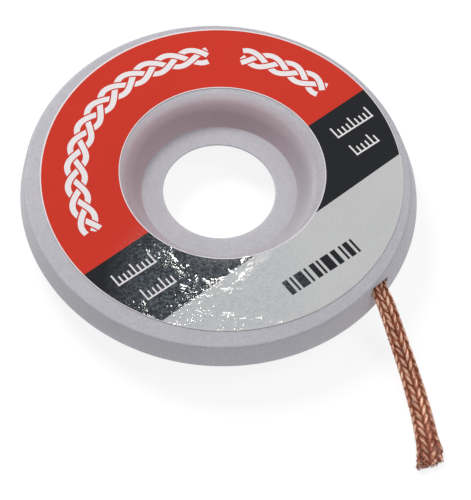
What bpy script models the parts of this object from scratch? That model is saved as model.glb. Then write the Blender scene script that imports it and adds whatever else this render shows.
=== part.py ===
"""Desoldering braid on its flat bobbin: two moulded half shells, a round label on the upper one,
the wound braid between them and the free end that comes out through a notch in the rim.

The bobbin lies flat. Its axis is Z and its underside is at z = 0. Lengths are in metres.
"""
import math

import bmesh
import bpy
from mathutils import Vector

MM = 0.001

# Bobbin: both halves share these sizes apart from their faces and holes, and each half is measured
# from the parting plane; the lower face is set in more, so the upper half hides the lower from above
HALF_HEIGHT = 2.65 * MM
PARTING_GAP = 0.3 * MM
OUTER_RADIUS = 19.8 * MM
FACE_SET_IN = 0.6 * MM
LOWER_FACE_SET_IN = 1.75 * MM
FACE_RADIUS = OUTER_RADIUS - FACE_SET_IN
LOWER_FACE_RADIUS = OUTER_RADIUS - LOWER_FACE_SET_IN
FACE_EDGE_FILLET = 0.3 * MM
PARTING_EDGE_FILLET = 0.1 * MM
WALL = 0.8 * MM
RECESS_MOUTH_RADIUS = 8.9 * MM
RECESS_MOUTH_FILLET = 1.6 * MM
RECESS_FLOOR_RADIUS = 7.8 * MM
RECESS_FLOOR_FILLET = 0.3 * MM
FLOOR_THICKNESS = 0.4 * MM
HOLE_RADIUS = 5.6 * MM
LOWER_HOLE_RADIUS = 6.6 * MM

# Label: a thin ring that was stuck on a little off the bobbin's axis, clear of the face's edges
LABEL_SET_IN = 1.2 * MM
LABEL_MOUTH_CLEARANCE = 1.3 * MM
LABEL_OUTER_RADIUS = FACE_RADIUS - LABEL_SET_IN
LABEL_INNER_RADIUS = RECESS_MOUTH_RADIUS + LABEL_MOUTH_CLEARANCE
LABEL_THICKNESS = 0.15 * MM
LABEL_CLEARANCE = 0.1 * MM
LABEL_OUTER_OFFSET = (0.15 * MM, 0.54 * MM)
LABEL_INNER_OFFSET = (0.20 * MM, 0.90 * MM)

# Braid: flat, woven from fine copper wire
BRAID_WIDTH = 2.0 * MM
BRAID_THICKNESS = 0.40 * MM
BRAID_LENGTH = 1500 * MM
BRAID_CLEARANCE = 0.3 * MM

# Free end of the braid: where it passes the rim, and the notch there
EXIT_ANGLE = math.radians(-32.4)
EXIT_SET_IN = 0.83 * MM
EXIT_RADIUS = OUTER_RADIUS - EXIT_SET_IN
EXIT_HEIGHT = 4.1 * MM
EXIT_DIRECTION = math.radians(-66.0)
NOTCH_WIDTH = 2.3 * MM
NOTCH_INSIDE_REACH = 2.6 * MM
NOTCH_OUTSIDE_REACH = 2.6 * MM
NOTCH_ROOF = 0.3 * MM

TURN_STEPS = 72
FILLET_STEPS = 3
TAIL_STEPS = 26

HEIGHT = 2 * HALF_HEIGHT
COIL_BOTTOM = WALL + BRAID_CLEARANCE
COIL_TOP = COIL_BOTTOM + BRAID_WIDTH


def clear_scene():
    for item in list(bpy.data.objects):
        bpy.data.objects.remove(item)


def material(name, colour, roughness, metallic):
    made = bpy.data.materials.new(name)
    made.use_nodes = True
    shader = made.node_tree.nodes["Principled BSDF"]
    shader.inputs["Base Color"].default_value = (*colour, 1.0)
    shader.inputs["Roughness"].default_value = roughness
    shader.inputs["Metallic"].default_value = metallic
    return made


def add_object(name, data, finish):
    made = bpy.data.objects.new(name, data)
    bpy.context.scene.collection.objects.link(made)
    data.materials.append(finish)
    return made


def mesh_from(shape, name, sharp_angle=math.radians(35)):
    """Turns a bmesh into a smooth-shaded mesh with its faces pointing out."""
    bmesh.ops.recalc_face_normals(shape, faces=shape.faces)
    mesh = bpy.data.meshes.new(name)
    shape.to_mesh(mesh)
    shape.free()
    mesh.shade_smooth()
    mesh.set_sharp_from_angle(angle=sharp_angle)
    return mesh


def rounded(corners):
    """Closed outline through (radius, height, fillet) corners, each corner rounded by its fillet."""
    points = []
    count = len(corners)
    for index, (radius, height, fillet) in enumerate(corners):
        corner = Vector((radius, height))
        if fillet == 0:
            points.append(corner)
            continue
        before = Vector(corners[index - 1][:2]) - corner
        after = Vector(corners[(index + 1) % count][:2]) - corner
        half_angle = before.angle(after) / 2
        tangent = fillet / math.tan(half_angle)
        start = corner + before.normalized() * tangent
        end = corner + after.normalized() * tangent
        centre = corner + (before.normalized() + after.normalized()).normalized() * fillet / math.sin(half_angle)
        first_angle = math.atan2(start.y - centre.y, start.x - centre.x)
        last_angle = math.atan2(end.y - centre.y, end.x - centre.x)
        sweep = math.remainder(last_angle - first_angle, 2 * math.pi)
        for step in range(FILLET_STEPS + 1):
            angle = first_angle + sweep * step / FILLET_STEPS
            points.append(centre + Vector((fillet * math.cos(angle), fillet * math.sin(angle))))
    return points


def turned(outline, name):
    """Solid made by turning a closed (radius, height) outline once round the Z axis."""
    shape = bmesh.new()
    verts = [shape.verts.new((point.x, 0, point.y)) for point in outline]
    edges = [shape.edges.new((verts[i - 1], verts[i])) for i in range(len(verts))]
    bmesh.ops.spin(shape, geom=verts + edges, cent=(0, 0, 0), axis=(0, 0, 1), angle=2 * math.pi,
                   steps=TURN_STEPS, use_merge=True, use_duplicate=False)
    return mesh_from(shape, name)


def half_shell_outline(face_radius, hole_radius):
    """Section of one half above the parting plane: floor, recess wall, flat face, flared side wall."""
    foot = PARTING_GAP / 2
    floor_top = foot + FLOOR_THICKNESS
    flare = (OUTER_RADIUS - face_radius) / (HALF_HEIGHT - foot)
    wall_across = WALL * math.hypot(1, flare)
    return rounded([
        (hole_radius, floor_top, 0),
        (RECESS_FLOOR_RADIUS, floor_top, RECESS_FLOOR_FILLET),
        (RECESS_MOUTH_RADIUS, HALF_HEIGHT, RECESS_MOUTH_FILLET),
        (face_radius, HALF_HEIGHT, FACE_EDGE_FILLET),
        (OUTER_RADIUS, foot, PARTING_EDGE_FILLET),
        (OUTER_RADIUS - wall_across, foot, 0),
        (face_radius + flare * WALL - wall_across, HALF_HEIGHT - WALL, 0),
        (RECESS_MOUTH_RADIUS + WALL, HALF_HEIGHT - WALL, 0),
        (RECESS_FLOOR_RADIUS + WALL, foot, 0),
        (hole_radius, foot, 0),
    ])


def exit_point():
    return Vector((EXIT_RADIUS * math.cos(EXIT_ANGLE), EXIT_RADIUS * math.sin(EXIT_ANGLE), EXIT_HEIGHT))


def notch_cutter():
    """Box along the braid's way out, open below at the parting plane, with a thin roof left above it."""
    reach = NOTCH_INSIDE_REACH + NOTCH_OUTSIDE_REACH
    bottom = HALF_HEIGHT - PARTING_GAP
    top = HEIGHT - NOTCH_ROOF
    shape = bmesh.new()
    bmesh.ops.create_cube(shape, size=1.0)
    bmesh.ops.scale(shape, vec=(reach, NOTCH_WIDTH, top - bottom), verts=shape.verts)
    bmesh.ops.translate(shape, vec=((NOTCH_OUTSIDE_REACH - NOTCH_INSIDE_REACH) / 2, 0, 0), verts=shape.verts)
    cutter = bpy.data.objects.new("notch_cutter", mesh_from(shape, "notch_cutter"))
    bpy.context.scene.collection.objects.link(cutter)
    place = exit_point()
    cutter.location = (place.x, place.y, (bottom + top) / 2)
    cutter.rotation_euler = (0, 0, EXIT_DIRECTION)
    cutter.display_type = "WIRE"
    cutter.hide_render = True
    return cutter


def build_shells(plastic):
    upper_outline = half_shell_outline(FACE_RADIUS, HOLE_RADIUS)
    upper = add_object("upper_shell", turned(upper_outline, "upper_shell"), plastic)
    upper.location = (0, 0, HALF_HEIGHT)
    notch = upper.modifiers.new("braid notch", "BOOLEAN")
    notch.operation = "DIFFERENCE"
    notch.object = notch_cutter()
    lower_outline = half_shell_outline(LOWER_FACE_RADIUS, LOWER_HOLE_RADIUS)
    turned_over = [Vector((point.x, -point.y)) for point in lower_outline]
    lower = add_object("lower_shell", turned(turned_over, "lower_shell"), plastic)
    lower.location = (0, 0, HALF_HEIGHT)


def build_label(finish):
    """Flat ring between two circles that don't share a centre."""
    shape = bmesh.new()
    bottom = HEIGHT + LABEL_CLEARANCE
    rings = []
    for radius, (x, y) in ((LABEL_OUTER_RADIUS, LABEL_OUTER_OFFSET), (LABEL_INNER_RADIUS, LABEL_INNER_OFFSET)):
        for height in (bottom, bottom + LABEL_THICKNESS):
            ring = []
            for step in range(TURN_STEPS):
                angle = 2 * math.pi * step / TURN_STEPS
                ring.append(shape.verts.new((x + radius * math.cos(angle), y + radius * math.sin(angle), height)))
            rings.append(ring)
    outer_low, outer_high, inner_low, inner_high = rings
    for first, second in ((outer_low, outer_high), (outer_high, inner_high), (inner_high, inner_low),
                          (inner_low, outer_low)):
        for step in range(TURN_STEPS):
            after = (step + 1) % TURN_STEPS
            shape.faces.new((first[step], first[after], second[after], second[step]))
    add_object("label", mesh_from(shape, "label"), finish)


def coil_inner_radius():
    """Clear of the lower recess wall, which is widest where the coil rests."""
    lean = (RECESS_MOUTH_RADIUS - RECESS_FLOOR_RADIUS) / (HALF_HEIGHT - PARTING_GAP / 2)
    wall_at_coil = RECESS_FLOOR_RADIUS + WALL + lean * (HALF_HEIGHT - COIL_BOTTOM)
    return wall_at_coil + BRAID_CLEARANCE


def coil_outer_radius():
    """The wound length fills the ring between the inner and the outer radius."""
    return math.sqrt(coil_inner_radius() ** 2 + BRAID_LENGTH * BRAID_THICKNESS / math.pi)


def build_coil(copper):
    inner = coil_inner_radius()
    outer = coil_outer_radius()
    outline = [Vector((inner, COIL_TOP)), Vector((outer, COIL_TOP)), Vector((outer, COIL_BOTTOM)),
               Vector((inner, COIL_BOTTOM))]
    add_object("braid_coil", turned(outline, "braid_coil"), copper)


def tail_route():
    """Points of the free end's middle line, its twist from upright, and its width, as a share."""
    beside_coil = coil_outer_radius() + BRAID_CLEARANCE + BRAID_THICKNESS / 2
    middle = COIL_BOTTOM + BRAID_WIDTH / 2
    route = []
    for degrees, outward, lift, twist in ((12, 0.0, 0.0, 0), (2, 0.0, 0.1, 0), (-8, 0.0, 0.45, 10),
                                          (-18, 0.0, 1.0, 32), (-26.2, 0.2, 1.6, 52)):
        angle = math.radians(degrees)
        radius = beside_coil + outward * MM
        point = Vector((radius * math.cos(angle), radius * math.sin(angle), middle + lift * MM))
        route.append((point, twist, 1.0))
    way_out = exit_point()
    route.append((way_out, 66, 1.0))
    for x, y, z, twist, width in ((17.0, -12.34, 3.7, 72, 1.0), (18.42, -15.42, 2.25, 78, 1.0),
                                  (19.78, -18.55, 0.92, 84, 1.0), (20.91, -22.14, 0.40, 89, 1.03),
                                  (21.65, -25.52, 0.35, 90, 1.13), (21.87, -27.3, 0.37, 90, 1.3)):
        route.append((Vector((x * MM, y * MM, z * MM)), twist, width))
    return route


def smooth_route(route, count):
    """Evenly spread points of a smooth curve through the route's own points."""
    dense = []
    spans = len(route) - 1
    for span in range(spans):
        before = route[max(span - 1, 0)]
        start, end = route[span], route[span + 1]
        after = route[min(span + 2, spans)]
        for step in range(20):
            t = step / 20
            weights = (-0.5 * t + t ** 2 - 0.5 * t ** 3, 1 - 2.5 * t ** 2 + 1.5 * t ** 3,
                       0.5 * t + 2 * t ** 2 - 1.5 * t ** 3, -0.5 * t ** 2 + 0.5 * t ** 3)
            stations = (before, start, end, after)
            point = sum((w * s[0] for w, s in zip(weights, stations)), Vector())
            twist = start[1] + (end[1] - start[1]) * t
            width = start[2] + (end[2] - start[2]) * t
            dense.append((point, twist, width))
    dense.append(route[-1])
    lengths = [0.0]
    for first, second in zip(dense, dense[1:]):
        lengths.append(lengths[-1] + (second[0] - first[0]).length)
    even = []
    place = 0
    for index in range(count):
        target = lengths[-1] * index / (count - 1)
        while place < len(dense) - 2 and lengths[place + 1] < target:
            place += 1
        share = (target - lengths[place]) / (lengths[place + 1] - lengths[place])
        first, second = dense[place], dense[place + 1]
        even.append((first[0].lerp(second[0], share), first[1] + (second[1] - first[1]) * share,
                     first[2] + (second[2] - first[2]) * share))
    return even


def build_tail(copper):
    curve = bpy.data.curves.new("braid_tail", "CURVE")
    curve.dimensions = "3D"
    curve.twist_mode = "Z_UP"
    curve.bevel_depth = BRAID_THICKNESS / 2
    curve.bevel_resolution = 2
    curve.extrude = (BRAID_WIDTH - BRAID_THICKNESS) / 2
    curve.use_fill_caps = True
    spline = curve.splines.new("POLY")
    spline.points.add(TAIL_STEPS - 1)
    for point, (place, twist, width) in zip(spline.points, smooth_route(tail_route(), TAIL_STEPS)):
        point.co = (*place, 1.0)
        point.tilt = math.radians(twist)
        point.radius = width
    add_object("braid_tail", curve, copper)


def main():
    clear_scene()
    plastic = material("shell_plastic", (0.62, 0.61, 0.66), 0.45, 0.0)
    print_film = material("label_film", (0.66, 0.03, 0.015), 0.28, 0.0)
    copper = material("copper_braid", (0.72, 0.28, 0.16), 0.35, 1.0)
    build_shells(plastic)
    build_label(print_film)
    build_coil(copper)
    build_tail(copper)


main()
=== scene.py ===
"""Desoldering braid on its flat bobbin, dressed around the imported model.

Two moulded half shells hold eighteen turns of flat copper braid. A printed film ring is stuck on the
upper one, and the braid's free end comes out of a notch in the rim and lies down beside the bobbin.
Lengths are in metres, the bobbin's axis is Z and its underside is at z = 0.
"""

import math

import bmesh
import bpy
import numpy as np
from bpy.props import FloatProperty, FloatVectorProperty, IntProperty, PointerProperty
from mathutils import Matrix, Vector
from mathutils.geometry import delaunay_2d_cdt


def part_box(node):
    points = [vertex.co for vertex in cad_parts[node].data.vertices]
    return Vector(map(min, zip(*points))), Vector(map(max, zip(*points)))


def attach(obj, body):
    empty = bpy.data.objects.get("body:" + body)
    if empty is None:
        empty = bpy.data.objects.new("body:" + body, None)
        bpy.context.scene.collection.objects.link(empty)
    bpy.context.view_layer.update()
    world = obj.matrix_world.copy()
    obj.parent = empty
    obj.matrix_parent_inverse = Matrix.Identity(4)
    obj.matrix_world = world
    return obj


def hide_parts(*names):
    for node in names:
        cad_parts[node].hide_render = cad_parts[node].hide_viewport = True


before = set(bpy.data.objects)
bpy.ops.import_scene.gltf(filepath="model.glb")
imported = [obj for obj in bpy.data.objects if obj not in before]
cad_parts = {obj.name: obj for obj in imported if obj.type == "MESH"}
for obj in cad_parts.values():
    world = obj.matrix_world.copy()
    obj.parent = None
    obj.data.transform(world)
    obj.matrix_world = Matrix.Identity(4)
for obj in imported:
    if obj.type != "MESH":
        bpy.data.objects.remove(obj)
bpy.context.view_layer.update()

bl_info = {
    "name": "Desoldering braid bobbin",
    "version": (1, 0, 0),
    "blender": (4, 5, 0),
    "location": "View3D > Sidebar > Braid",
    "description": "Builds a flat bobbin of woven copper desoldering braid, with its label and free end",
    "category": "Add Mesh",
}

MM = 0.001
SHELL_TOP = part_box("upper_shell")[1].z
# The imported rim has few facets, which lie a little inside its circle
FACET_ALLOWANCE = 0.03 * MM
SHELL_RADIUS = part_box("upper_shell")[1].x + FACET_ALLOWANCE
COIL_LOW, COIL_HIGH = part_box("braid_coil")

# Camera fitted to the photograph: its right, up and back directions, and its place above the label
CAMERA_AXES = ((0.99746, 0.06013, 0.03819), (-0.07123, 0.84198, 0.53479), (0.0, -0.53615, 0.84412))
CAMERA_PLACE = (2.03 * MM, -138.41 * MM, 205.03 * MM)
FLOOR_DROP = 0.02 * MM

# Stations of the free end's middle line, as in the part's source: x, y, z in metres, the twist from
# upright in degrees, and the width as a share of the full one
TAIL_STATIONS = (
    (0.016938, 0.003600, 0.00210, 0, 1.0),
    (0.017306, 0.000604, 0.00220, 0, 1.0),
    (0.017148, -0.002410, 0.00255, 10, 1.0),
    (0.016469, -0.005351, 0.00310, 32, 1.0),
    (0.015717, -0.007734, 0.00370, 52, 1.0),
    (0.016017, -0.010165, 0.00410, 66, 1.0),
    (0.017000, -0.012340, 0.00370, 72, 1.0),
    (0.018420, -0.015420, 0.00225, 78, 1.0),
    (0.019780, -0.018550, 0.00092, 84, 1.0),
    (0.020910, -0.022140, 0.00040, 89, 1.03),
    (0.021650, -0.025520, 0.00035, 90, 1.13),
    (0.021870, -0.027300, 0.00037, 90, 1.3),
)
TAIL_EXIT = (0.016017, -0.010165, 0.00410)
TAIL_SAMPLE = 0.17 * MM


def length(name, description, default):
    """Setting that holds a length in metres."""
    return FloatProperty(name=name, description=description, default=default, unit="LENGTH", precision=6)


def paint(name, description, default):
    """Setting that holds a colour."""
    return FloatVectorProperty(name=name, description=description, default=default, subtype="COLOR", size=3,
                               min=0, max=1)


def strength(name, description, default):
    """Setting that holds how strong a light is."""
    return FloatProperty(name=name, description=description, default=default, min=0, precision=3)


class BobbinSettings(bpy.types.PropertyGroup):
    """Sizes and colours of the two moulded halves."""
    face_radius: length("Upper face", "Radius of the flat face of the upper half", 19.2 * MM)
    lower_face_radius: length("Lower face", "Radius of the flat face of the lower half", 18.05 * MM)
    recess_mouth: length("Recess mouth", "Radius of the recess at the face", 8.9 * MM)
    recess_floor: length("Recess floor", "Radius of the recess at its floor", 7.8 * MM)
    mouth_fillet: length("Mouth rounding", "Rounding of the recess at the face", 1.6 * MM)
    face_shift: FloatVectorProperty(name="Face shift", description="How far the upper face is off the axis",
                                    default=(-0.20 * MM, -0.13 * MM), size=2, subtype="TRANSLATION",
                                    unit="LENGTH", precision=6)
    hole_radius: length("Upper hole", "Radius of the hole in the upper half", 5.6 * MM)
    lower_hole_radius: length("Lower hole", "Radius of the hole in the lower half", 6.6 * MM)
    wall: length("Wall", "Thickness of the moulded wall", 0.8 * MM)
    floor_thickness: length("Floor", "Thickness of the recess floor", 0.4 * MM)
    seam: length("Seam", "Gap that shows between the two halves", 0.08 * MM)
    segments: IntProperty(name="Segments", description="Facets round the bobbin", default=240, min=48)
    colour: paint("Plastic", "Colour of the moulded plastic", (0.47, 0.46, 0.50))
    # The recess wall's painted shade, pinker beside the red ink, and the painted light at its foot
    wall_painted_shade: paint("Wall blush", "Colour of the recess wall beside the red ink", (0.425, 0.32, 0.34))
    foot_painted_light: paint("Foot blush", "Colour of that wall at its foot", (0.62, 0.48, 0.51))


class LabelSettings(bpy.types.PropertyGroup):
    """Sizes and colours of the printed film ring."""
    outer_radius: length("Outer radius", "Outer radius of the film", 18.0 * MM)
    inner_radius: length("Inner radius", "Inner radius of the film", 10.2 * MM)
    thickness: length("Thickness", "Thickness of the film and its glue", 0.07 * MM)
    red: paint("Red band", "Colour of the wide band", (0.59, 0.028, 0.011))
    black: paint("Black band", "Colour of the middle band", (0.008, 0.009, 0.012))
    grey: paint("Grey band", "Colour of the pale band", (0.53, 0.535, 0.535))
    white: paint("White ink", "Colour of the marks and of the bare film", (0.80, 0.77, 0.78))


class BraidSettings(bpy.types.PropertyGroup):
    """Sizes and colour of the copper braid."""
    width: length("Width", "Width of the flattened braid", 2.10 * MM)
    thickness: length("Thickness", "Thickness of the flattened braid", 0.40 * MM)
    wire: length("Wire", "Diameter of one copper wire", 0.084 * MM)
    carriers: IntProperty(name="Bundles each way", description="Bundles of wire that run each way round",
                          default=6, min=4)
    wires: IntProperty(name="Wires in a bundle", description="Wires side by side in one bundle", default=5,
                       min=2)
    pick: length("Pick", "Length of one stitch along the braid", 0.94 * MM)
    turns: IntProperty(name="Turns", description="Turns of braid wound in the bobbin", default=18, min=1)
    # Lightened, this colour also gives the free end's wires their painted glints
    colour: paint("Copper", "Colour of the clean copper", (1.0, 0.57, 0.40))


class StageSettings(bpy.types.PropertyGroup):
    """The plain floor, the lights and the camera."""
    lens: FloatProperty(name="Lens", description="Focal length in millimetres, on a 36 mm sensor",
                        default=180.0, unit="CAMERA")
    floor: paint("Floor", "Colour of the floor", (0.20, 0.20, 0.20))
    floor_glow: strength("Floor glow", "Strength of the light from inside the floor", 0.82)
    sky: strength("Sky", "Strength of the even light from all round", 0.40)
    key_power: strength("Key light", "Power of the main light in watts", 1.36)
    fill_power: strength("Fill light", "Power of the weaker light in watts", 0.31)
    glint_power: strength("Glint lamp", "Power of the small bright lamp in watts", 0.018)


class NodeTree:
    """Short way to add and join shader nodes in one material."""

    def __init__(self, name):
        self.material = bpy.data.materials.new(name)
        self.material.use_nodes = True
        self.tree = self.material.node_tree
        self.shader = self.tree.nodes["Principled BSDF"]

    def add(self, kind, values=(), **settings):
        node = self.tree.nodes.new(kind)
        for key, value in settings.items():
            setattr(node, key, value)
        for socket, value in dict(values).items():
            self.feed(node.inputs[socket], value)
        return node

    def feed(self, socket, value):
        if isinstance(value, bpy.types.NodeSocket):
            self.tree.links.new(value, socket)
        else:
            socket.default_value = value

    def set(self, **values):
        for key, value in values.items():
            self.feed(self.shader.inputs[key.replace("_", " ")], value)

    def measure(self, operation, first, second=(0.0, 0.0, 0.0)):
        node = self.add("ShaderNodeVectorMath", {0: first, 1: second}, operation=operation)
        return node.outputs["Value"]

    def math(self, operation, first, second=0.0):
        return self.add("ShaderNodeMath", {0: first, 1: second}, operation=operation).outputs[0]

    def times(self, first, second):
        return self.math("MULTIPLY", first, second)

    def blend(self, share, first, second, mode="MIX"):
        node = self.add("ShaderNodeMix", {0: share}, data_type="RGBA", blend_type=mode)
        self.feed(node.inputs[6], first)
        self.feed(node.inputs[7], second)
        return node.outputs[2]

    def spread(self, value, low, high, new_low=0.0, new_high=1.0):
        values = {0: value, 1: low, 2: high, 3: new_low, 4: new_high}
        return self.add("ShaderNodeMapRange", values).outputs[0]

    def noise(self, place, scale, detail=3.0, roughness=0.5, distortion=0.0):
        return self.add("ShaderNodeTexNoise", {"Vector": place, "Scale": scale, "Detail": detail,
                                               "Roughness": roughness, "Distortion": distortion}).outputs[0]

    def place(self):
        return self.add("ShaderNodeTexCoord").outputs["Object"]

    def attribute(self, name):
        return self.add("ShaderNodeAttribute", attribute_name=name).outputs["Fac"]

    def bump(self, height, strength, distance, normal=None):
        values = {"Height": height, "Strength": strength, "Distance": distance}
        if normal is not None:
            values["Normal"] = normal
        return self.add("ShaderNodeBump", values).outputs[0]


def shade(colour, factor=1.0):
    """Colour made lighter or darker, with its alpha."""
    return tuple(min(1.0, channel * factor) for channel in colour) + (1.0,)


def moulded_plastic(settings):
    """Milky moulded plastic: a satin grain, faint flow clouds, and painted shade on the recess wall, pinker
    towards the red ink, with painted light at the wall's foot.
    """
    made = NodeTree("moulded_plastic")
    place = made.place()
    split = made.add("ShaderNodeSeparateXYZ", {0: place})
    flat = made.add("ShaderNodeCombineXYZ", {0: split.outputs[0], 1: split.outputs[1]}).outputs[0]
    radius = made.measure("LENGTH", flat)
    redward = made.math("ADD", made.times(split.outputs[0], -0.68), made.times(split.outputs[1], 0.73))
    # Share of the recess wall in the upper half, where shade and light are painted
    wall = made.times(made.spread(radius, 7.66 * MM, 7.80 * MM),
                      made.spread(radius, 9.3 * MM, 10.6 * MM, 1.0, 0.0))
    wall = made.times(wall, made.math("GREATER_THAN", split.outputs[2], SHELL_TOP / 2))
    painted_light_and_shade = made.times(wall, made.spread(redward, -6 * MM, 5 * MM, 0.2, 1.0))
    clouds = made.noise(place, 160.0, 3.0)
    grain = made.noise(place, 5200.0, 2.0, 0.6)
    pits = made.noise(place, 1500.0, 3.0, 0.55)
    colour = made.blend(made.spread(clouds, 0.35, 0.65), shade(settings.colour, 0.965),
                        shade(settings.colour, 1.03))
    colour = made.blend(made.spread(grain, 0.40, 0.62, 0.0, 0.5), colour, shade(settings.colour, 0.78))
    # Painted shade on the recess wall, pinker towards the red ink, turning to painted light at its foot
    painted_wall_colour = made.blend(made.spread(radius, 7.9 * MM, 9.2 * MM), shade(settings.foot_painted_light),
                      shade(settings.wall_painted_shade))
    colour = made.blend(painted_light_and_shade, colour, painted_wall_colour)
    # More painted shade, darkening the whole recess wall
    colour = made.blend(wall, colour, (0.89, 0.89, 0.90, 1.0), mode="MULTIPLY")
    made.set(Base_Color=colour, Roughness=made.spread(pits, 0.3, 0.7, 0.42, 0.56), IOR=1.46)
    made.set(Subsurface_Weight=0.25, Subsurface_Scale=0.0012, Subsurface_Radius=(1.0, 0.9, 0.95))
    fine = made.bump(grain, 0.6, 0.00003)
    made.set(Normal=made.bump(pits, 0.35, 0.00005, fine))
    return made.material


# Middle of the stretch where the film's skin is creased and its ink carries a painted reflection, and the
# lines of its creases, each as the direction across it and its distance from the axis
CRINKLED = (0.0, -12.5 * MM, 5.4 * MM)
CREASES = (((-0.61, 0.793, 0.0), 10.3 * MM), ((0.784, 0.62, 0.0), 9.7 * MM), ((-0.05, 1.0, 0.0), 16.3 * MM))


# Places of the four inks among the film's finishes
RED, BLACK, GREY, WHITE = range(4)


def film_ink(name, colour, speckle):
    """Glossy printed film: its ink under a clear crinkled skin that breaks up reflections, and a painted
    reflection of the sky in blue-grey specks on the creased stretch.
    """
    made = NodeTree(name)
    place = made.place()
    dots = made.noise(place, 4200.0, 2.0, 0.6)
    drift = made.noise(place, 110.0, 2.0)
    ink = made.blend(made.spread(dots, 0.35, 0.65, 0.0, speckle), shade(colour), shade(colour, 0.82))
    ink = made.blend(made.spread(drift, 0.3, 0.7, 0.0, 0.5), ink, shade(colour, 1.07))
    crinkle = made.noise(place, 3400.0, 2.0, 0.55, 0.4)
    waves = made.noise(place, 230.0, 2.0, 0.5, 0.2)
    wobble = made.times(made.math("SUBTRACT", made.noise(place, 260.0, 3.0, 0.6), 0.5), 9 * MM)
    creased = 0.0
    for aside, offset in CREASES:
        past = made.math("ADD", made.measure("DOT_PRODUCT", place, aside), offset)
        past = made.math("ABSOLUTE", made.math("ADD", past, wobble))
        creased = made.math("MAXIMUM", creased, made.spread(past, 0.25 * MM, 1.1 * MM, 1.0, 0.0))
    broken = made.noise(place, 700.0, 2.0, 0.6)
    creased = made.times(creased, made.spread(broken, 0.42, 0.54, 0.15, 1.0))
    local = made.spread(made.measure("DISTANCE", place, CRINKLED), 7 * MM, 10.5 * MM, 1.0, 0.0)
    # Painted reflection: blue-grey specks lighten the ink near the creased stretch, standing in for the sky
    # mirrored in the skin
    painted_reflection = made.times(local, made.spread(dots, 0.42, 0.66, 0.04, 0.32))
    ink = made.blend(painted_reflection, ink, (0.30, 0.36, 0.42, 1.0))
    made.set(Base_Color=ink, Roughness=made.spread(drift, 0.3, 0.7, 0.035, 0.05), IOR=1.5)
    fine = made.bump(made.times(crinkle, made.times(creased, local)), 1.0, 0.000024)
    made.set(Normal=made.bump(waves, 0.5, 0.000006, fine))
    return made.material


def copper_wire(settings):
    """Drawn copper with tarnish blooms, painted glints and painted highlights where a wire lies on top, and
    painted shade where it dives under.
    """
    made = NodeTree("copper_wire")
    place = made.place()
    shade_depth, tone, run = (made.attribute(name) for name in ("shade_depth", "tone", "run"))
    bloom = made.noise(place, 900.0, 3.0, 0.6)
    streak = made.noise(made.add("ShaderNodeCombineXYZ", {0: run}).outputs[0], 3800.0, 2.0, 0.7)
    # Painted glints: stretches of each wire picked by noise, more of them on top and on brighter wires, take
    # a lightened copy of the copper
    dull = made.blend(tone, (0.48, 0.15, 0.078, 1.0), (0.90, 0.37, 0.22, 1.0))
    lit = made.math("SUBTRACT", streak, made.times(shade_depth, 0.8))
    lit = made.math("ADD", lit, made.times(made.math("SUBTRACT", tone, 0.5), 0.22))
    clean = made.blend(made.spread(lit, 0.31, 0.42), dull, shade(settings.colour, 1.14))
    clean = made.blend(made.spread(bloom, 0.5, 0.72, 0.0, 0.3), clean, (0.62, 0.23, 0.14, 1.0))
    # Painted highlight on the crest of each float
    painted_highlight = made.times(made.spread(shade_depth, 0.0, 0.16, 0.8, 0.0), made.spread(lit, 0.36, 0.5))
    clean = made.blend(painted_highlight, clean, (1.0, 0.72, 0.55, 1.0))
    # Painted shade where a wire dives under and on a bundle's outer wires
    under = made.spread(shade_depth, 0.18, 0.60, 0.0, 0.9)
    made.set(Base_Color=made.blend(under, clean, (0.20, 0.038, 0.014, 1.0)), Metallic=0.3)
    made.set(Roughness=made.spread(streak, 0.3, 0.7, 0.18, 0.30))
    made.set(Normal=made.bump(streak, 0.6, 0.00001))
    return made.material


def copper_weave(settings):
    """Woven copper for the wound turns, drawn along the ribbon from its length and height, with painted
    shade in the weave's hollows.
    """
    made = NodeTree("copper_weave")
    sheet = made.add("ShaderNodeUVMap", uv_map="ribbon").outputs[0]
    split = made.add("ShaderNodeSeparateXYZ", {0: sheet})
    along, across = split.outputs[0], split.outputs[1]
    column = made.math("ADD", made.times(across, 3.0), 0.5)
    lean = made.math("PINGPONG", column, 1.0)
    stitch = made.math("FRACT", made.math("ADD", along, made.times(lean, 0.5)))
    ridge = made.math("SINE", made.times(stitch, math.pi))
    hollow = made.math("SINE", made.times(made.math("FRACT", column), math.pi))
    height = made.times(made.math("POWER", ridge, 0.5), made.math("POWER", hollow, 0.4))
    wires = made.math("SINE", made.times(stitch, 10.0 * math.pi))
    height = made.math("ADD", height, made.times(wires, 0.12))
    # Painted shade: the copper darkens where the weave is low, in the hollows between stitches and columns
    made.set(Base_Color=made.blend(made.spread(height, 0.2, 0.9), (0.26, 0.085, 0.05, 1.0),
                                   shade(settings.colour, 0.85)), Metallic=0.8)
    made.set(Roughness=made.spread(made.noise(made.place(), 2500.0), 0.3, 0.7, 0.32, 0.48))
    made.set(Normal=made.bump(height, 0.8, 0.00006))
    return made.material


def pale_floor(colour, glow):
    """Matt pale sweep, lit from inside like a light table, with the faintest mottling."""
    made = NodeTree("pale_floor")
    mottle = made.noise(made.place(), 60.0, 4.0)
    made.set(Base_Color=made.blend(made.spread(mottle, 0.3, 0.7), shade(colour, 0.99),
                                   shade(colour, 1.01)), Roughness=0.85)
    made.set(Emission_Color=(1.0, 1.0, 1.0, 1.0), Emission_Strength=glow)
    made.set(Normal=made.bump(made.noise(made.place(), 900.0), 0.1, 0.00005))
    return made.material


def add_object(name, data):
    made = bpy.data.objects.new(name, data)
    bpy.context.scene.collection.objects.link(made)
    return made


def smooth(mesh, degrees):
    """Smooth shading, with an edge kept wherever the surface turns by more than some degrees."""
    mesh.shade_smooth()
    mesh.set_sharp_from_angle(angle=math.radians(degrees))


def add_piece(name, data, finishes, replaced):
    """Adds one piece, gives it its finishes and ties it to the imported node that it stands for."""
    piece = add_object(name, data)
    for finish in finishes:
        data.materials.append(finish)
    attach(piece, "root")
    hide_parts(replaced)
    return piece


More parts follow.
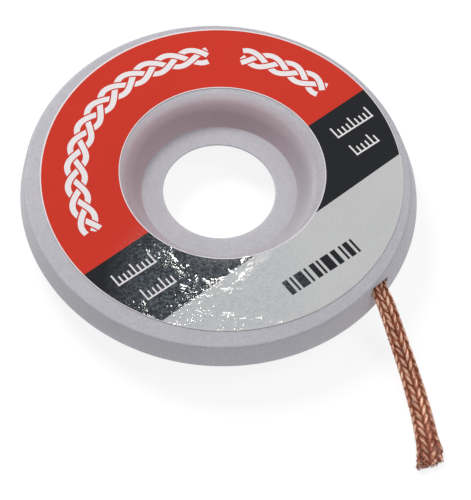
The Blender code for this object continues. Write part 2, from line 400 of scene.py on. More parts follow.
def smooth_curve(stations, step):
    """Evenly spaced samples of a smooth curve through stations, one row each, about step apart."""
    rows = np.array(stations, float)
    padded = np.vstack([rows[:1], rows, rows[-1:]])
    dense = []
    for i in range(len(rows) - 1):
        before, start, end, after = padded[i:i + 4]
        for t in np.arange(20) / 20:
            point = (before * (-0.5 * t + t ** 2 - 0.5 * t ** 3) + start * (1 - 2.5 * t ** 2 + 1.5 * t ** 3)
                     + end * (0.5 * t + 2 * t ** 2 - 1.5 * t ** 3) + after * (-0.5 * t ** 2 + 0.5 * t ** 3))
            point[3:] = start[3:] + (end[3:] - start[3:]) * t
            dense.append(point)
    dense.append(rows[-1])
    dense = np.array(dense)
    gaps = np.linalg.norm(np.diff(dense[:, :3], axis=0), axis=1)
    run = np.concatenate([[0.0], np.cumsum(gaps)])
    count = int(round(run[-1] / step)) + 1
    even = np.linspace(0.0, run[-1], count)
    return even, np.array([np.interp(even, run, dense[:, k]) for k in range(dense.shape[1])]).T


class BRAID_OT_stage(bpy.types.Operator):
    """Add the camera, the plain floor and the soft lights"""
    bl_idname = "braid.stage"
    bl_label = "Floor, lights and camera"

    def execute(self, context):
        settings = context.scene.braid_stage
        data = bpy.data.cameras.new("camera")
        data.lens = settings.lens
        data.sensor_width = 36.0
        data.clip_start = 0.01
        data.clip_end = 20.0
        camera = add_object("camera", data)
        turn = Matrix(CAMERA_AXES).transposed().to_4x4()
        place = Vector(CAMERA_PLACE) + Vector((0, 0, SHELL_TOP))
        camera.matrix_world = Matrix.Translation(place) @ turn
        context.scene.camera = camera

        shape = bmesh.new()
        bmesh.ops.create_grid(shape, x_segments=8, y_segments=8, size=1.5)
        mesh = bpy.data.meshes.new("floor")
        shape.to_mesh(mesh)
        shape.free()
        mesh.materials.append(pale_floor(settings.floor, settings.floor_glow))
        floor = add_object("floor", mesh)
        floor.location.z = -FLOOR_DROP

        world = bpy.data.worlds.new("studio")
        world.use_nodes = True
        background = world.node_tree.nodes["Background"]
        background.inputs["Color"].default_value = (0.98, 0.985, 1.0, 1.0)
        background.inputs["Strength"].default_value = settings.sky
        context.scene.world = world
        context.scene.view_settings.view_transform = "Standard"
        self.lamp("key", (-0.20, 0.25, 0.335), 0.16, settings.key_power, (1.0, 0.99, 0.98))
        self.lamp("fill", (0.22, 0.02, 0.34), 0.20, settings.fill_power, (0.97, 0.97, 1.0))
        self.lamp("glint", (-0.002, 0.118, 0.195), 0.008, settings.glint_power, (1.0, 0.97, 0.90))
        return {"FINISHED"}

    def lamp(self, name, place, size, power, colour):
        """Square lamp that points at the bobbin."""
        data = bpy.data.lights.new(name, "AREA")
        data.size = size
        data.energy = power
        data.color = colour
        lamp = add_object(name, data)
        lamp.location = place
        lamp.rotation_euler = (-Vector(place)).to_track_quat("-Z", "Y").to_euler()


class Spine:
    """Middle line of the flattened braid with its directions, asked for at any distance along it."""

    def __init__(self, run, samples):
        centre = samples[:, :3]
        tangent = np.gradient(centre, run, axis=0)
        tangent /= np.linalg.norm(tangent, axis=1)[:, None]
        up = np.array([0.0, 0.0, 1.0]) - tangent * tangent[:, 2:3]
        up /= np.linalg.norm(up, axis=1)[:, None]
        twist = np.radians(samples[:, 3])[:, None]
        broad = np.cos(twist) * up + np.sin(twist) * np.cross(tangent, up)
        self.run = run
        self.length = run[-1]
        self.table = np.hstack([centre, tangent, broad, np.cross(tangent, broad), samples[:, 4:5]])

    def at(self, reach):
        """Points, tangents, broad and thin directions and width shares; past the end it runs on straight."""
        rows = np.array([np.interp(reach, self.run, column) for column in self.table.T]).T
        beyond = np.clip(reach - self.length, 0, None)[:, None]
        return rows[:, :3] + rows[:, 3:6] * beyond, rows[:, 3:6], rows[:, 6:9], rows[:, 9:12], rows[:, 12]


class Weave:
    """Sizes of the flattened tube that the wires run round in."""

    def __init__(self, settings):
        self.wire = settings.wire
        self.rim = settings.thickness / 2 - 2.0 * self.wire
        self.straight = settings.width / 2 - 1.25 * self.wire - self.rim
        self.around = 4 * self.straight + 2 * math.pi * self.rim
        self.column = self.around / settings.carriers
        self.pick = settings.pick
        self.half = settings.width / 2
        self.sway = 0.1 * self.column / math.pi
        self.beside = 0.99 * self.wire / math.cos(math.atan2(self.column, self.pick))
        self.last = (settings.wires - 1) / 2


# Chance in the wires: how far each wanders aside, a bundle's start, the spread of the loose ends across
# and through the braid, and how much longer or shorter a wire is cut
WANDER = 0.014 * MM
START_SPREAD = 0.025 * MM
FRAY = (0.10 * MM, 0.09 * MM)
SLACK = 0.06 * MM

# Sway of a wire: the lengths of its two slow waves, its lift where it crosses over, the crown of its
# bundle and its ripple as shares of its diameter, and the ripple's length
WAVE_LENGTHS = (1.7 * MM, 0.31 * MM)
LIFT, CROWN, RIPPLE = 1.1, 0.4, 0.16
RIPPLE_LENGTH = 0.13 * MM

# Skin of a wire: its sides, the spacing of the trial points, and the length and the bend that one ring
# stands for at most
TUBE_SIDES = 5
TRIAL_STEP = 0.05 * MM
RING_LENGTH = 0.30 * MM
RING_BEND = math.radians(28)

# Cut end: the stretch in which the wires come loose and how much thicker they spread, the bulge of the
# right edge, its place before the end and its length, and the dulled stretch with its loss of tone
LOOSE_STRETCH = 2.4 * MM
LOOSE_THICKER = 0.35
BULGE, BULGE_BEFORE_END, BULGE_LENGTH = 0.19 * MM, 1.35 * MM, 0.65 * MM
WORN_STRETCH = 4.5 * MM
WORN_TONE = 0.7

# How far the cut runs past the middle line's end, for places across from the right edge to the left one
CUT_ACROSS = (-1.0, -0.85, -0.5, -0.1, 0.7, 1.0)
CUT_BEYOND = (-0.65 * MM, -0.14 * MM, 0.16 * MM, 0.38 * MM, 0.58 * MM, 0.80 * MM)


class Wire:
    """One copper wire of the weave, from the wound turns to the cut end."""

    def __init__(self, weave, spine, way, start, index, tone, rng):
        self.weave = weave
        self.spine = spine
        self.way = way
        self.start = start
        self.offset = (index - weave.last) * weave.beside
        self.side = (index - weave.last) / weave.last
        self.tone = tone
        self.wander = rng.normal(0, WANDER)
        self.wave = rng.uniform(0, 2 * math.pi)
        self.fray = rng.normal(0, 1, 2) * FRAY
        self.end = spine.length
        slack = rng.normal(0, SLACK)
        for _ in range(4):
            local, _ = loop_point(self.place(np.array([self.end])), weave.straight, weave.rim)
            self.end = spine.length + slack + np.interp(local[0, 0] / weave.half, CUT_ACROSS, CUT_BEYOND)

    def place(self, reach):
        """Distance round the flattened tube; a bundle runs straighter where it lies on top."""
        weave = self.weave
        long_wave, short_wave = (np.sin(reach / period + self.wave) for period in WAVE_LENGTHS)
        wander = self.wander * (long_wave + short_wave)
        steady = self.start + self.way * reach / weave.pick * weave.column
        sway = weave.sway * self.way * np.sin(math.pi * steady / weave.column)
        return (steady - sway + self.offset + wander) % weave.around

    def path(self, reach):
        """Points of the wire, the directions that face out of the braid, and how far it lies over."""
        weave = self.weave
        place = self.place(reach)
        local, normal = loop_point(place, weave.straight, weave.rim)
        over = np.cos(math.pi * place / weave.column) * self.way
        crown = (1 - self.side ** 2) * np.clip(over, 0, 1)
        ripple = RIPPLE * np.sin(reach / RIPPLE_LENGTH + 5 * self.wave)
        lift = weave.wire * (LIFT * over + CROWN * crown + ripple) * (1 - 0.5 * np.abs(normal[:, 0]))
        local = local + normal * lift[:, None]
        point, _, broad, thin, swell = self.spine.at(reach)
        loose = np.clip(1 - (self.end - reach) / LOOSE_STRETCH, 0, 1) ** 2
        rightward = np.clip((-local[:, 0] / weave.half - 0.3) / 0.7, 0, 1)
        past_bulge = reach - self.spine.length + BULGE_BEFORE_END
        bulge = BULGE * rightward * np.exp(-(past_bulge / BULGE_LENGTH) ** 2)
        x = local[:, 0] * swell + self.fray[0] * loose - bulge
        y = local[:, 1] * (1 + LOOSE_THICKER * loose) + self.fray[1] * loose
        point = point + broad * x[:, None] + thin * y[:, None]
        point[:, 2] = np.maximum(point[:, 2], weave.wire / 2 + 0.01 * MM)
        return point, broad * normal[:, :1] + thin * normal[:, 1:], over

    def rings(self):
        """Distances along the braid for the wire's rings, closer together where it bends."""
        reach = np.linspace(0, self.end, int(self.end / TRIAL_STEP))
        steps = np.diff(self.path(reach)[0], axis=0)
        long = np.linalg.norm(steps, axis=1)
        ahead = steps / long[:, None]
        bend = np.arccos(np.clip(np.sum(ahead[1:] * ahead[:-1], axis=1), -1, 1))
        effort = np.cumsum(np.concatenate([[0.0], long / RING_LENGTH]))
        effort[2:] += np.cumsum(bend) / RING_BEND
        return np.interp(np.linspace(0, effort[-1], int(effort[-1]) + 2), effort, reach)

    def tube(self):
        """Vertices of the wire's skin ring by ring, and for each how deep it lies, which sets painted shade
        and highlights, its tone and its reach.
        """
        reach = self.rings()
        point, outward, over = self.path(reach)
        head = np.gradient(point, axis=0)
        head /= np.linalg.norm(head, axis=1)[:, None]
        outward = outward - head * np.sum(head * outward, axis=1)[:, None]
        outward /= np.linalg.norm(outward, axis=1)[:, None]
        sideways = np.cross(head, outward)
        corner = np.arange(TUBE_SIDES) * 2 * math.pi / TUBE_SIDES
        ring = (np.cos(corner)[None, :, None] * outward[:, None, :]
                + np.sin(corner)[None, :, None] * sideways[:, None, :])
        # How deep a ring lies; a bundle's outer wires count as deeper, so that they get painted shade
        shade_depth = np.clip(0.5 - 0.5 * over + 0.24 * self.side ** 2, 0, 1)
        worn = np.clip((reach - self.spine.length + WORN_STRETCH) / WORN_STRETCH, 0, 1)
        tone = np.clip(self.tone - WORN_TONE * worn, 0, 1)
        skin = point[:, None, :] + self.weave.wire / 2 * ring
        return skin.reshape(-1, 3), *(np.repeat(value, TUBE_SIDES) for value in (shade_depth, tone, reach))


def tube_faces(first, count, sides):
    """Faces of one closed tube of count rings whose vertices start at first."""
    row = np.arange(count - 1)[:, None] * sides
    here = np.arange(sides)[None, :]
    after = (here + 1) % sides
    quads = np.stack([row + here, row + after, row + sides + after, row + sides + here], axis=-1) + first
    start = [first + k for k in reversed(range(sides))]
    end = [first + (count - 1) * sides + k for k in range(sides)]
    return quads.reshape(-1, 4).tolist() + [start, end]


def woven_tube(settings, run, samples):
    """Wires of a flattened two-over two-under braid that follows samples of a middle line.

    Returns vertices and faces, and for each vertex how deep it lies in the weave, which sets painted shade
    and highlights, its tone and its own run."""
    weave = Weave(settings)
    spine = Spine(run, samples)
    rng = np.random.default_rng(11)
    verts, faces, depths, tones, runs = [], [], [], [], []
    first = 0
    for way in (1, -1):
        for carrier in range(settings.carriers):
            start = (carrier - 0.25) * weave.column + rng.normal(0, START_SPREAD)
            tone = rng.uniform(0.45, 0.8)
            for index in range(settings.wires):
                wire = Wire(weave, spine, way, start, index, tone + rng.uniform(-0.45, 0.45), rng)
                skin, shade_depth, shine, reach = wire.tube()
                faces += tube_faces(first, len(skin) // TUBE_SIDES, TUBE_SIDES)
                first += len(skin)
                runs.append(reach + 0.04 * len(verts))
                verts.append(skin)
                depths.append(shade_depth)
                tones.append(shine)
    return np.vstack(verts), faces, {"shade_depth": np.concatenate(depths), "tone": np.concatenate(tones),
                                     "run": np.concatenate(runs)}


def loop_point(place, straight, rim):
    """Points and outward directions round the flattened tube, at distances from one edge's middle."""
    half_turn = math.pi * rim
    half_way = half_turn + 2 * straight
    place = (place + half_turn / 2) % (2 * half_way)
    side = np.where(place < half_way, 1.0, -1.0)[:, None]
    place = place % half_way
    angle = np.minimum(place / rim, math.pi) - math.pi / 2
    past_bend = np.maximum(place - half_turn, 0)
    outward = np.stack([np.cos(angle), np.sin(angle)], axis=1)
    point = rim * outward
    point[:, 0] += straight - past_bend
    return point * side, outward * side


class BRAID_OT_free_end(bpy.types.Operator):
    """Weave the free end of the braid, from the wound turns out through the notch to its cut end"""
    bl_idname = "braid.free_end"
    bl_label = "Free end of the braid"

    def execute(self, context):
        settings = context.scene.braid_copper
        run, samples = smooth_curve(TAIL_STATIONS, TAIL_SAMPLE)
        verts, faces, values = woven_tube(settings, run, samples)
        mesh = bpy.data.meshes.new("free_end")
        mesh.from_pydata(verts.tolist(), [], faces)
        for key, value in values.items():
            mesh.attributes.new(key, "FLOAT", "POINT").data.foreach_set("value", value.astype(np.float32))
        mesh.shade_smooth()
        piece = add_piece("free_end", mesh, [copper_wire(settings)], "braid_tail")
        return {"FINISHED"}


class BRAID_OT_wound_turns(bpy.types.Operator):
    """Wind the flat braid between the two halves"""
    bl_idname = "braid.wound_turns"
    bl_label = "Wound turns"

    def execute(self, context):
        settings = context.scene.braid_copper
        pitch = settings.thickness
        half = settings.width / 2
        thin = pitch * 0.44
        outer = COIL_HIGH.x - pitch / 2
        inner = outer - settings.turns * pitch
        end_angle = math.radians(12)
        last_stretch = 0.16
        steps = 90
        section = [(thin, half * 0.86), (thin * 0.6, half), (-thin * 0.6, half), (-thin, half * 0.86),
                   (-thin, -half * 0.86), (-thin * 0.6, -half), (thin * 0.6, -half), (thin, -half * 0.86)]
        middle = (COIL_LOW.z + COIL_HIGH.z) / 2
        verts, sheet = [], []
        travelled = 0.0
        count = settings.turns * steps + 1
        join = Vector(TAIL_STATIONS[0][:2]).length - outer
        for index in range(count):
            turn = index / steps
            angle = end_angle - (turn - settings.turns) * 2 * math.pi
            ease = max(0.0, (turn - settings.turns + last_stretch) / last_stretch)
            radius = inner + (outer - inner) * turn / settings.turns + join * ease * ease * (3 - 2 * ease)
            travelled += radius * 2 * math.pi / steps
            for out, high in section:
                arm = radius + out
                verts.append((arm * math.cos(angle), arm * math.sin(angle), middle + high))
                sheet.append((travelled / settings.pick, 0.5 + high / settings.width))
        mesh = bpy.data.meshes.new("wound_turns")
        mesh.from_pydata(verts, [], tube_faces(0, count, len(section)))
        layer = mesh.uv_layers.new(name="ribbon")
        loops = np.empty(len(mesh.loops), np.int32)
        mesh.loops.foreach_get("vertex_index", loops)
        layer.data.foreach_set("uv", np.array(sheet, np.float32)[loops].ravel())
        smooth(mesh, 50)
        add_piece("wound_turns", mesh, [copper_weave(settings)], "braid_coil")
        return {"FINISHED"}


def rounded_outline(corners, steps=6):
    """Closed outline through (radius, height, fillet) corners, each rounded by its fillet."""
    points = []
    for index, (radius, height, fillet) in enumerate(corners):
        corner = Vector((radius, height))
        if fillet == 0:
            points.append(corner)
            continue
        before = (Vector(corners[index - 1][:2]) - corner).normalized()
        after = (Vector(corners[(index + 1) % len(corners)][:2]) - corner).normalized()
        half_angle = before.angle(after) / 2
        centre = corner + (before + after).normalized() * fillet / math.sin(half_angle)
        start = corner + before * fillet / math.tan(half_angle) - centre
        end = corner + after * fillet / math.tan(half_angle) - centre
        first = math.atan2(start.y, start.x)
        sweep = math.remainder(math.atan2(end.y, end.x) - first, 2 * math.pi)
        for step in range(steps + 1):
            angle = first + sweep * step / steps
            points.append(centre + Vector((math.cos(angle), math.sin(angle))) * fillet)
    return points


# Moulded halves: the recess floor above the parting plane, the height of the hole's edge and the reach
# of the slope under it, and the roundings of the hole, the recess floor, the face, the rim and inside
FLOOR_RISE = 0.15 * MM
EDGE_HEIGHT, SLOPE_REACH = 0.2 * MM, 0.5 * MM
HOLE_ROUND, FLOOR_ROUND, FACE_ROUND = 0.06 * MM, 0.12 * MM, 0.3 * MM
RIM_ROUND, INNER_ROUND = 0.10 * MM, 0.2 * MM


def half_outline(settings, face, hole):
    """Section of one moulded half, measured up from the parting plane."""
    foot = settings.seam / 2
    top = SHELL_TOP / 2
    floor_top = FLOOR_RISE + settings.floor_thickness
    wall = settings.wall
    flare = (SHELL_RADIUS - face) / (top - foot)
    wall_across = wall * math.hypot(1, flare)
    return rounded_outline([
        (hole, floor_top, HOLE_ROUND),
        (settings.recess_floor, floor_top, FLOOR_ROUND),
        (settings.recess_mouth, top, settings.mouth_fillet),
        (face, top, FACE_ROUND),
        (SHELL_RADIUS, foot, RIM_ROUND),
        (SHELL_RADIUS - wall_across, foot, 0),
        (face + flare * wall - wall_across, top - wall, INNER_ROUND),
        (settings.recess_mouth + wall, top - wall, INNER_ROUND),
        (settings.recess_floor + wall, foot, 0),
        (hole + SLOPE_REACH, foot, 0),
        (hole, floor_top - EDGE_HEIGHT, 0),
    ])


def turned_shape(outline, segments):
    """Closed mesh made by turning an outline once round Z."""
    shape = bmesh.new()
    rings = []
    for step in range(segments):
        angle = 2 * math.pi * step / segments
        rings.append([shape.verts.new((p.x * math.cos(angle), p.x * math.sin(angle), p.y)) for p in outline])
    for step in range(segments):
        ring, after = rings[step], rings[(step + 1) % segments]
        for k in range(len(outline)):
            m = (k + 1) % len(outline)
            shape.faces.new((ring[k], after[k], after[m], ring[m]))
    bmesh.ops.recalc_face_normals(shape, faces=shape.faces)
    return shape


def mesh_of(shape, name):
    """Mesh of a finished shape, which is let go."""
    mesh = bpy.data.meshes.new(name)
    shape.to_mesh(mesh)
    shape.free()
    return mesh


def cut_by(mesh, name, cutter):
    """Mesh with the cutter's room taken out of it."""
    body = add_object("work", mesh)
    tool = add_object("cutter", cutter)
    change = body.modifiers.new("cut", "BOOLEAN")
    change.operation = "DIFFERENCE"
    change.solver = "EXACT"
    change.object = tool
    bpy.context.view_layer.update()
    result = bpy.data.meshes.new_from_object(body.evaluated_get(bpy.context.evaluated_depsgraph_get()))
    result.name = name
    for item in (body, tool):
        bpy.data.objects.remove(item)
    result.materials.clear()
    return result


# The upper half leans with its face beyond this radius, and keeps its edges above these degrees
SHIFTED_BEYOND = 12 * MM
SHELL_SHARP = 32

# Notch: its length, width and height, its rounding, and how far its middle lies outside and below
# the point where the braid passes the rim
NOTCH_SIZE = (5.0 * MM, 2.2 * MM, 0.85 * MM)
NOTCH_ROUNDING = 0.15 * MM
NOTCH_OUTWARD = 0.4 * MM
NOTCH_BELOW = 0.14 * MM


class BRAID_OT_shells(bpy.types.Operator):
    """Mould the two halves of the bobbin, with the notch that the braid leaves by"""
    bl_idname = "braid.shells"
    bl_label = "Moulded halves"

    def execute(self, context):
        settings = context.scene.braid_bobbin
        plastic = moulded_plastic(settings)
        middle = SHELL_TOP / 2

        outline = half_outline(settings, settings.face_radius, settings.hole_radius)
        shape = turned_shape(outline, settings.segments)
        for vert in shape.verts:
            if math.hypot(vert.co.x, vert.co.y) > SHIFTED_BEYOND:
                vert.co.x += settings.face_shift[0] * vert.co.z / middle
                vert.co.y += settings.face_shift[1] * vert.co.z / middle
        bmesh.ops.translate(shape, vec=(0, 0, middle), verts=shape.verts)
        upper = cut_by(mesh_of(shape, "upper_half"), "upper_half", self.notch())
        smooth(upper, SHELL_SHARP)
        add_piece("upper_half", upper, [plastic], "upper_shell")

        outline = half_outline(settings, settings.lower_face_radius, settings.lower_hole_radius)
        shape = turned_shape([Vector((p.x, -p.y)) for p in outline], settings.segments)
        bmesh.ops.translate(shape, vec=(0, 0, middle), verts=shape.verts)
        lower = mesh_of(shape, "lower_half")
        smooth(lower, SHELL_SHARP)
        add_piece("lower_half", lower, [plastic], "lower_shell")
        return {"FINISHED"}

    def notch(self):
        """Slot that lies askew like the braid in it, a little wider and thicker than the braid."""
        spine = Spine(*smooth_curve(TAIL_STATIONS, TAIL_SAMPLE))
        near = int(np.argmin(np.linalg.norm(spine.table[:, :3] - np.array(TAIL_EXIT), axis=1)))
        where = spine.at(spine.run[near:near + 1] + NOTCH_OUTWARD)
        point, along, broad, thin = (Vector(part[0]) for part in where[:4])
        notch = bmesh.new()
        bmesh.ops.create_cube(notch, size=1.0)
        bmesh.ops.scale(notch, vec=NOTCH_SIZE, verts=notch.verts)
        lengthwise = [e for e in notch.edges if abs((e.verts[0].co - e.verts[1].co).x) > NOTCH_SIZE[0] / 2]
        bmesh.ops.bevel(notch, geom=lengthwise, offset=NOTCH_ROUNDING, segments=3, profile=0.5,
                        affect="EDGES")
        turn = Matrix((along, broad, thin)).transposed().to_4x4()
        notch.transform(Matrix.Translation(point - thin * NOTCH_BELOW) @ turn)
        bmesh.ops.recalc_face_normals(notch, faces=notch.faces)
        return mesh_of(notch, "notch")


def ring_points(radius, centre, count):
    """Evenly spaced points on a circle."""
    return [Vector((centre[0] + radius * math.cos(2 * math.pi * k / count),
                    centre[1] + radius * math.sin(2 * math.pi * k / count))) for k in range(count)]


def ribbon(points, half_width):
    """Closed polygon of one width along a line of points."""
    left, right = [], []
    for index, point in enumerate(points):
        before = points[max(index - 1, 0)]
        after = points[min(index + 1, len(points) - 1)]
        ahead = (after - before).normalized()
        normal = Vector((-ahead.y, ahead.x))
        left.append(point + normal * half_width)
        right.append(point - normal * half_width)
    return left + right[::-1]


class Plait:
    """Three-strand plait printed along an arc: its strands' outlines, and which strand shows at a point."""

    def __init__(self, first, last, waves):
        self.centre = Vector((0.15 * MM, 0.75 * MM))
        self.radius = 14.45 * MM
        self.swing = 0.88 * MM
        self.half = 0.30 * MM
        self.gap = 0.15 * MM
        self.first = math.radians(first)
        self.last = math.radians(last)
        self.waves = waves
        self.bands = []
        for strand in range(3):
            line = self.line(strand)
            self.bands.append((ribbon(line, self.half), ribbon(line, self.half + self.gap)))

    def phase(self, share, strand):
        return share * self.waves * 2 * math.pi + strand * 2 * math.pi / 3

    def line(self, strand):
        """Middle line of one strand."""
        count = int(self.waves * 28)
        points = []
        for k in range(count + 1):
            share = k / count
            angle = self.first + (self.last - self.first) * share
            radius = self.radius + self.swing * math.sin(self.phase(share, strand))
            points.append(self.centre + Vector((math.cos(angle), math.sin(angle))) * radius)
        return points

    def outlines(self):
        return [outline for pair in self.bands for outline in pair]

    def shows(self, point):
        """Whether white ink covers a point; the strand on top leaves a bare gap beside it."""
        arm = point - self.centre
        if abs(arm.length - self.radius) > self.swing + self.half:
            return False
        angle = math.atan2(arm.y, arm.x) % (2 * math.pi)
        share = (angle - self.first) / (self.last - self.first)
        if share < -0.02 or share > 1.02:
            return False
        near = [(math.sin(2 * self.phase(share, strand)), strand) for strand in range(3)
                if inside(point, self.bands[strand][1])]
        return bool(near) and inside(point, self.bands[max(near)[1]][0])


def bar(centre, angle, length, width):
    """Rectangle of a mark, as four corners."""
    ahead = Vector((math.cos(angle), math.sin(angle))) * length / 2
    beside = Vector((-math.sin(angle), math.cos(angle))) * width / 2
    corners = (ahead + beside, beside - ahead, -ahead - beside, ahead - beside)
    return [Vector(centre) + corner for corner in corners]


def lean_axes(lean):
    """Directions along and across a row of marks."""
    return Vector((math.cos(lean), math.sin(lean))), Vector((-math.sin(lean), math.cos(lean)))


# Rule marks: middle of each row in millimetres and its number of ticks, then the ticks' spacing, width
# and two heights, and how far the line below runs past the outer ticks' middles
TICK_ROWS = ((-7.6, -11.3, 9), (-5.1, -13.0, 7), (12.8, 7.85, 9), (14.15, 5.4, 6))
TICK_PITCH = 0.55 * MM
TICK_WIDTH = 0.17 * MM
TICK_HEIGHTS = (1.335 * MM, 0.835 * MM)
TICK_OVERHANG = 0.115 * MM
MARK_LEAN = math.radians(41.8)


def scale_marks():
    """White rule marks on both ends of the black band: rows of ticks that stand on a thin line."""
    marks = []
    across, beside = lean_axes(MARK_LEAN)
    for x, y, ticks in TICK_ROWS:
        origin = Vector((x * MM, y * MM)) - beside * TICK_PITCH
        reach = (ticks - 1) * TICK_PITCH + 2 * TICK_OVERHANG
        marks.append(bar(origin, MARK_LEAN, reach, TICK_WIDTH))
        for k in range(ticks):
            tall = TICK_HEIGHTS[0] if k % 4 == 0 else TICK_HEIGHTS[1]
            at = origin + across * (k - (ticks - 1) / 2) * TICK_PITCH + beside * tall / 2
            marks.append(bar(at, MARK_LEAN + math.pi / 2, tall, TICK_WIDTH))
    return marks


# Stripes: their direction, the first one's foot, their height, and each one's width and the gap after
# it in millimetres
STRIPE_LEAN = math.radians(41.0)
STRIPE_START = (7.25 * MM, -12.25 * MM)
STRIPE_HEIGHT = 1.75 * MM
STRIPES = ((0.60, 0.28), (0.25, 0.25), (0.95, 0.28), (0.25, 0.42), (0.60, 0.25), (0.25, 0.28), (0.95, 0.28),
           (0.60, 0.42), (0.25, 0.25), (0.60, 0.28), (0.25, 0.0))


def stripe_marks():
    """Bold black stripes of several widths in a row on the grey band."""
    marks = []
    across, _ = lean_axes(STRIPE_LEAN)
    place = Vector(STRIPE_START)
    for wide, gap in STRIPES:
        middle = place + across * wide / 2 * MM
        marks.append(bar(middle, STRIPE_LEAN + math.pi / 2, STRIPE_HEIGHT, wide * MM))
        place = place + across * (wide + gap) * MM
    return marks


def inside(point, polygon):
    """Whether a point lies in a closed polygon."""
    hit = False
    x, y = point
    for a, b in zip(polygon, polygon[1:] + polygon[:1]):
        if (a.y > y) != (b.y > y) and x < (b.x - a.x) * (y - a.y) / (b.y - a.y) + a.x:
            hit = not hit
    return hit


def side_of(point, start, end):
    """More than zero where a point lies left of a line."""
    return (end[0] - start[0]) * (point[1] - start[1]) - (end[1] - start[1]) * (point[0] - start[0])


# Film: the middles of its outer circle, its bore and its ink, its bare rim, the facets of its circles, the
# glue under it, and the lines between red and black and between black and grey
FILM_CENTRE = (0.15 * MM, 0.54 * MM)
BORE_CENTRE = (0.20 * MM, 0.90 * MM)
INK_CENTRE = (0.20 * MM, 0.49 * MM)
BARE_RIM = 0.09 * MM
FILM_FACETS = 288
FILM_GLUE = 0.005 * MM
RED_EDGE = ((-12.36 * MM, -12.30 * MM), (13.87 * MM, 12.16 * MM))
GREY_EDGE = ((-4.70 * MM, -17.03 * MM), (17.92 * MM, 4.71 * MM))

# Loose grid that keeps the film's faces even: its reach, spacing, chance and distance from the rims
GRID_REACH = 18.5
GRID_STEP = 0.45
GRID_JITTER = 0.1
GRID_MARGIN = 0.35 * MM


def away(point, centre):
    """Distance of a point from a circle's middle."""
    return (point - Vector(centre)).length


def film_plan(settings, outlines):
    """Points and edges of the film's top: rims, marks' outlines, the bands' lines and a loose grid."""
    coords, edges = [], []

    def line(points, closed=True):
        start = len(coords)
        coords.extend(points)
        for k in range(len(points) - (0 if closed else 1)):
            edges.append((start + k, start + (k + 1) % len(points)))

    for radius, centre in ((settings.outer_radius, FILM_CENTRE), (settings.inner_radius, BORE_CENTRE),
                           (settings.outer_radius - BARE_RIM, INK_CENTRE),
                           (settings.inner_radius + BARE_RIM, BORE_CENTRE)):
        line(ring_points(radius, centre, FILM_FACETS))
    for outline in outlines:
        line(outline)
    for start, end in (RED_EDGE, GREY_EDGE):
        a, b = Vector(start), Vector(end)
        line([a + (a - b) * 0.1, b + (b - a) * 0.1], closed=False)
    chance = np.random.default_rng(5)
    grid = np.arange(-GRID_REACH, GRID_REACH + 0.1, GRID_STEP) * MM
    for x in grid:
        for y in grid:
            point = Vector((x + chance.uniform(-GRID_JITTER, GRID_JITTER) * MM,
                            y + chance.uniform(-GRID_JITTER, GRID_JITTER) * MM))
            if (away(point, FILM_CENTRE) < settings.outer_radius - GRID_MARGIN
                    and away(point, BORE_CENTRE) > settings.inner_radius + GRID_MARGIN):
                coords.append(point)
    return coords, edges


def ink_at(point, plaits, marks):
    """Ink that covers a point inside the film's bare rim."""
    if any(plait.shows(point) for plait in plaits):
        return WHITE
    for corners, ink in marks:
        if (point - corners[0]).length < (corners[2] - corners[0]).length and inside(point, corners):
            return ink
    if side_of(point, *RED_EDGE) > 0:
        return RED
    return BLACK if side_of(point, *GREY_EDGE) > 0 else GREY


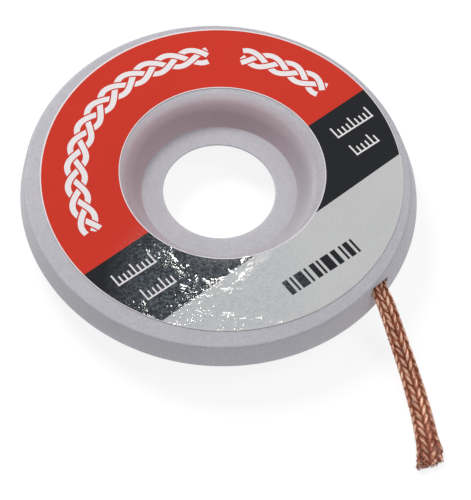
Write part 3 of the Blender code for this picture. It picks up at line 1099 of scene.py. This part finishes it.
class BRAID_OT_label(bpy.types.Operator):
    """Print and stick on the film ring, a little off the bobbin's axis"""
    bl_idname = "braid.label"
    bl_label = "Printed film ring"

    def execute(self, context):
        settings = context.scene.braid_label
        plaits = [Plait(99.5, 213.5, 4.0), Plait(49.0, 85.5, 4 / 3)]
        marks = [(mark, WHITE) for mark in scale_marks()] + [(mark, BLACK) for mark in stripe_marks()]
        outlines = [outline for plait in plaits for outline in plait.outlines()]
        coords, edges = film_plan(settings, outlines + [mark for mark, _ in marks])
        flat, _, triangles, *_ = delaunay_2d_cdt(coords, edges, [], 0, 1e-7)

        shape = bmesh.new()
        bottom = SHELL_TOP + FILM_GLUE
        top = bottom + settings.thickness
        upper = [shape.verts.new((point.x, point.y, top)) for point in flat]
        for triangle in triangles:
            centre = sum((flat[k] for k in triangle), Vector((0, 0))) / 3
            from_bore = away(centre, BORE_CENTRE) - settings.inner_radius
            if away(centre, FILM_CENTRE) > settings.outer_radius or from_bore < -0.05 * BARE_RIM:
                continue
            face = shape.faces.new([upper[k] for k in triangle])
            past_ink = away(centre, INK_CENTRE) > settings.outer_radius - 1.02 * BARE_RIM
            bare = past_ink or from_bore < 0.97 * BARE_RIM
            face.material_index = WHITE if bare else ink_at(centre, plaits, marks)
        bmesh.ops.delete(shape, geom=[v for v in shape.verts if not v.link_faces], context="VERTS")

        # The rims go down to the glue, and the underside closes the film
        made = bmesh.ops.extrude_edge_only(shape, edges=[e for e in shape.edges if e.is_boundary])["geom"]
        for vert in [v for v in made if isinstance(v, bmesh.types.BMVert)]:
            vert.co.z = bottom
        rims = [f for f in made if isinstance(f, bmesh.types.BMFace)]
        under = bmesh.ops.bridge_loops(shape, edges=[e for e in shape.edges if e.is_boundary])["faces"]
        for face in rims + under:
            face.material_index = WHITE
        bmesh.ops.recalc_face_normals(shape, faces=shape.faces)
        mesh = mesh_of(shape, "film_ring")
        smooth(mesh, 30)
        inks = [film_ink("film_red", settings.red, 0.35), film_ink("film_black", settings.black, 0.8),
                film_ink("film_grey", settings.grey, 0.5), film_ink("film_white", settings.white, 0.3)]
        add_piece("film_ring", mesh, inks, "label")
        return {"FINISHED"}


class BRAID_PT_panel(bpy.types.Panel):
    """Steps and sizes of the bobbin in the sidebar"""
    bl_idname = "BRAID_PT_panel"
    bl_label = "Desoldering braid"
    bl_space_type = "VIEW_3D"
    bl_region_type = "UI"
    bl_category = "Braid"

    def draw(self, context):
        for step in STEPS:
            self.layout.operator(step.bl_idname)
        for holder in HOLDERS:
            box = self.layout.box()
            settings = getattr(context.scene, holder)
            for key in settings.__annotations__:
                box.prop(settings, key)


STEPS = (BRAID_OT_stage, BRAID_OT_free_end, BRAID_OT_wound_turns, BRAID_OT_shells, BRAID_OT_label)
HOLDERS = {"braid_bobbin": BobbinSettings, "braid_label": LabelSettings, "braid_copper": BraidSettings,
           "braid_stage": StageSettings}


def register():
    for item in (*HOLDERS.values(), *STEPS, BRAID_PT_panel):
        bpy.utils.register_class(item)
    for holder, group in HOLDERS.items():
        setattr(bpy.types.Scene, holder, PointerProperty(type=group))


def unregister():
    for holder in HOLDERS:
        delattr(bpy.types.Scene, holder)
    for item in (BRAID_PT_panel, *reversed(STEPS), *reversed(HOLDERS.values())):
        bpy.utils.unregister_class(item)


def main():
    register()
    bpy.ops.braid.stage()
    bpy.ops.braid.free_end()
    bpy.ops.braid.wound_turns()
    bpy.ops.braid.shells()
    bpy.ops.braid.label()


if __name__ == "__main__":
    main()
